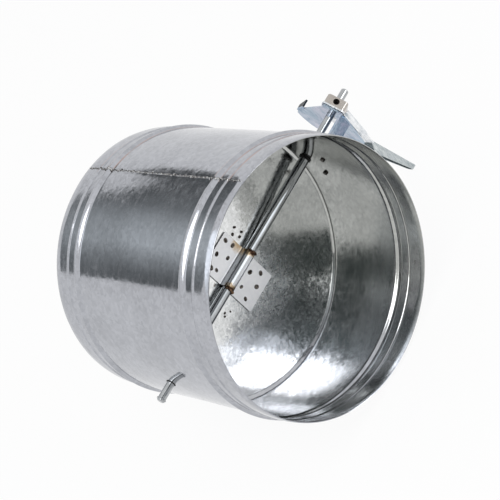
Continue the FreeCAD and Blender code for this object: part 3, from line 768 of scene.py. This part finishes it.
# Cards that the metal reflects, each upright at its y with an outline of (x, z). The glow follows levels
# of (x, level), and between two heights it can go from one share of them to another.
cards = {
    "darkBackCard": {
        "y": 1.6, "colour": "e2e8ea", "heights": (0.90, 1.25), "shares": (0.5, 1.0),
        "outline": [(-0.80, 0.60), (0.30, 1.05), (0.56, 1.05), (0.66, 1.00), (0.72, 0.84), (0.98, 0.86),
                    (1.05, 1.60), (-1.30, 1.60), (-1.10, 0.83)],
        "levels": [(-1.10, 0.42), (-0.85, 0.55), (-0.45, 1.05), (-0.10, 0.78), (0.25, 0.34), (0.60, 0.24)]},
    "darkFrontCard": {
        "y": -1.9, "colour": "d6e6e6", "levels": [(0.10, 0.12), (1.10, 0.28)],
        "outline": [(-2.20, 0.78), (-0.30, 0.85), (0.40, 1.25), (0.96, 1.36), (1.14, 1.385), (1.45, 1.17),
                    (1.75, 1.17), (1.75, 2.3), (-2.20, 2.3)]},
    "paleWindowCard": {
        "y": -1.92, "colour": "f3f7fb", "levels": [(0.50, 2.2), (1.30, 2.2)],
        "outline": [(0.55, -0.15), (1.30, -0.15), (1.30, 1.16), (1.05, 1.32), (0.62, 1.26)]},
    "paleBackCard": {
        "y": 1.6, "colour": "f3f7fb", "levels": [(-2.30, 1.15), (-1.25, 2.1)],
        "outline": [(-0.22, 1.80), (-0.26, 2.60), (-0.60, 3.60), (-2.40, 3.20), (-2.40, 1.95),
                    (-1.45, 1.64), (-0.35, 1.64)]},
}
lamps = {"keyBox": {"place": (1.43, -1.80, 0.53), "size": (0.52, 1.38), "watts": 8.0},
         "topBox": {"place": (-0.47, -0.50, 1.40), "size": (0.8, 0.95), "watts": 7.0}}


# One flat face from its corner points.
def flatObject(name, corners):
    mesh = bpy.data.meshes.new(name)
    mesh.from_pydata(corners, [], [list(range(len(corners)))])
    obj = bpy.data.objects.new(name, mesh)
    bpy.context.scene.collection.objects.link(obj)
    return obj


# A flat card that the metal sees, while the camera and the diffuse light do not. Its glow follows the
# levels with straight runs between them, times a share that goes from one value to another up its height.
def buildCard(name, look):
    obj = flatObject(name, [(x, look["y"], z) for x, z in look["outline"]])
    material, tree = emptyMaterial(name)
    where = addNode(tree, "TexCoord").outputs["Object"]
    along, _, height = addNode(tree, "SeparateXYZ", {0: where}).outputs
    levels = look["levels"]
    level = levels[0][1]
    for (start, low), (end, high) in zip(levels, levels[1:]):
        level = calc(tree, "ADD", level, ramp(tree, along, start, end, 0.0, high - low))
    if "heights" in look:
        level = calc(tree, "MULTIPLY", level, ramp(tree, height, *look["heights"], *look["shares"]))
    glow = addNode(tree, "Emission", {"Color": hexColour(look["colour"]), "Strength": level})
    addNode(tree, "OutputMaterial", {"Surface": glow.outputs[0]})
    obj.data.materials.append(material)
    obj.visible_camera = False
    obj.visible_diffuse = False
    obj.visible_shadow = False
    obj.visible_transmission = False


# 1 for a ray of the camera, or one that a metal or a clear surface sends on, and 0 for the rest.
def backdropRays(tree):
    path = addNode(tree, "LightPath").outputs
    seen = calc(tree, "MAXIMUM", path["Is Camera Ray"], path["Is Glossy Ray"])
    return calc(tree, "MAXIMUM", seen, path["Is Transmission Ray"])


# Plain pale floor: paper that takes the object's shadow, lifted towards white for the backdrop rays.
def buildFloor():
    half, level = studio["floorHalf"], studio["floor"]
    corners = [(-half, -half, level), (half, -half, level), (half, half, level), (-half, half, level)]
    obj = flatObject("floor", corners)
    material, tree = emptyMaterial("whitePaper")
    paper = addNode(tree, "BsdfDiffuse", {"Color": hexColour(studio["paper"])})
    white = addNode(tree, "Emission", {"Color": (1, 1, 1, 1), "Strength": 1.0})
    lift = calc(tree, "MULTIPLY", backdropRays(tree), studio["floorLift"])
    mix = addNode(tree, "MixShader", {0: lift, 1: paper.outputs[0], 2: white.outputs[0]})
    addNode(tree, "OutputMaterial", {"Surface": mix.outputs[0]})
    obj.data.materials.append(material)


# Pale room that lights the object's matt surfaces, and plain white for the backdrop rays.
def buildWorld():
    world = bpy.data.worlds.new("paleRoom")
    bpy.context.scene.world = world
    world.use_nodes = True
    tree = world.node_tree
    tree.nodes.clear()
    room = addNode(tree, "Background", {"Color": hexColour(studio["room"]), "Strength": studio["roomLevel"]})
    white = addNode(tree, "Background", {"Color": (1, 1, 1, 1), "Strength": 1.0})
    mix = addNode(tree, "MixShader", {0: backdropRays(tree), 1: room.outputs[0], 2: white.outputs[0]})
    addNode(tree, "OutputWorld", {"Surface": mix.outputs[0]})


# A soft lamp at its place, turned to look at the target.
def buildLamp(name, look):
    data = bpy.data.lights.new(name, "AREA")
    data.shape = "RECTANGLE"
    data.size, data.size_y = look["size"]
    data.energy = look["watts"]
    obj = bpy.data.objects.new(name, data)
    bpy.context.scene.collection.objects.link(obj)
    away = (Vector(look["place"]) - Vector(studio["target"])).to_track_quat("Z", "Y").to_matrix().to_4x4()
    obj.matrix_world = Matrix.Translation(look["place"]) @ away


buildFloor()
buildWorld()
for name, look in cards.items():
    buildCard(name, look)
for name, look in lamps.items():
    buildLamp(name, look)

# The photo's camera: its place in metres, and the directions of its right, its up and its back.
view = {"place": (-0.5500, -1.2813, 1.0340), "right": (0.4860, -0.6349, -0.6005),
        "up": (0.8169, 0.0858, 0.5704), "back": (-0.3106, -0.7678, 0.5604), "lens": 121.4, "film": 36.0}
cameraData = bpy.data.cameras.new("camera")
cameraData.lens = view["lens"]
cameraData.sensor_width = view["film"]
cameraData.clip_start = 0.05
camera = bpy.data.objects.new("camera", cameraData)
bpy.context.scene.collection.objects.link(camera)
turn = Matrix((view["right"], view["up"], view["back"])).transposed().to_4x4()
camera.matrix_world = Matrix.Translation(view["place"]) @ turn
bpy.context.scene.camera = camera
bpy.context.scene.view_settings.view_transform = "Standard"
print("stage set")
